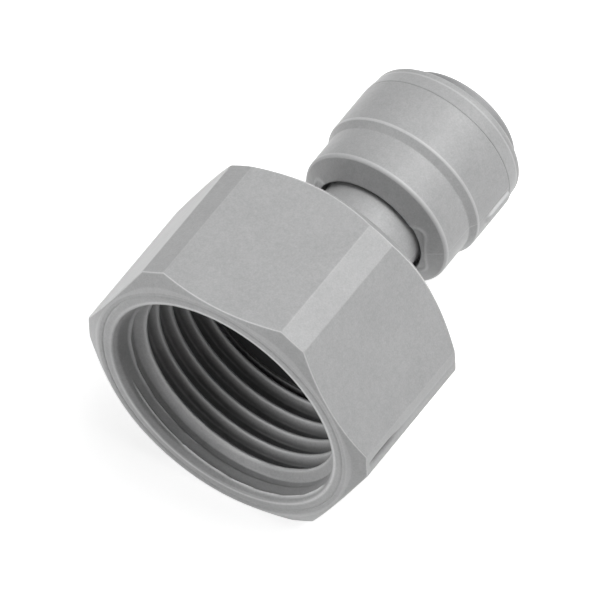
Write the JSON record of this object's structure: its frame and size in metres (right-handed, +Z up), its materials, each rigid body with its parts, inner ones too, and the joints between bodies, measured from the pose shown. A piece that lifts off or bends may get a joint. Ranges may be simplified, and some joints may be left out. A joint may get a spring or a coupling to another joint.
{
  "type": "push-in tube coupling",
  "caption": "Moulded plastic push-in tube coupling with a hexagonal female pipe thread socket, narrow neck, stepped barrel, end cap and a release collet.",
  "frame": {"origin": "under the middle of the coupling's length and width, on the plane of the hexagon's lower flat", "axes": "+Y along the fitting, from the thread's mouth to the collet; +X across the hexagon's corners, +Z up through its upper flat"},
  "size_m": [0.0274, 0.0352, 0.025],
  "materials": {
    "body_plastic": "satin moulded acetal, fine grain",
    "collet_plastic": "satin moulded acetal",
    "seal_rubber": "matt nitrile rubber",
    "tooth_steel": "ground spring steel"
  },
  "bodies": {
    "fitting": {"coupling_body": "body_plastic", "end_cap": "body_plastic", "tube_oring": "seal_rubber", "thread_washer": "seal_rubber"},
    "collet": {"collet": "collet_plastic", "grip_tooth_1": "tooth_steel", "grip_tooth_2": "tooth_steel", "grip_tooth_3": "tooth_steel", "grip_tooth_4": "tooth_steel", "grip_tooth_5": "tooth_steel", "grip_tooth_6": "tooth_steel"}
  },
  "joints": [
    {"name": "collet_release", "type": "slide", "parent": "fitting", "child": "collet", "axis": [0, -1, 0], "range_m": [0, 0.001]}
  ]
}
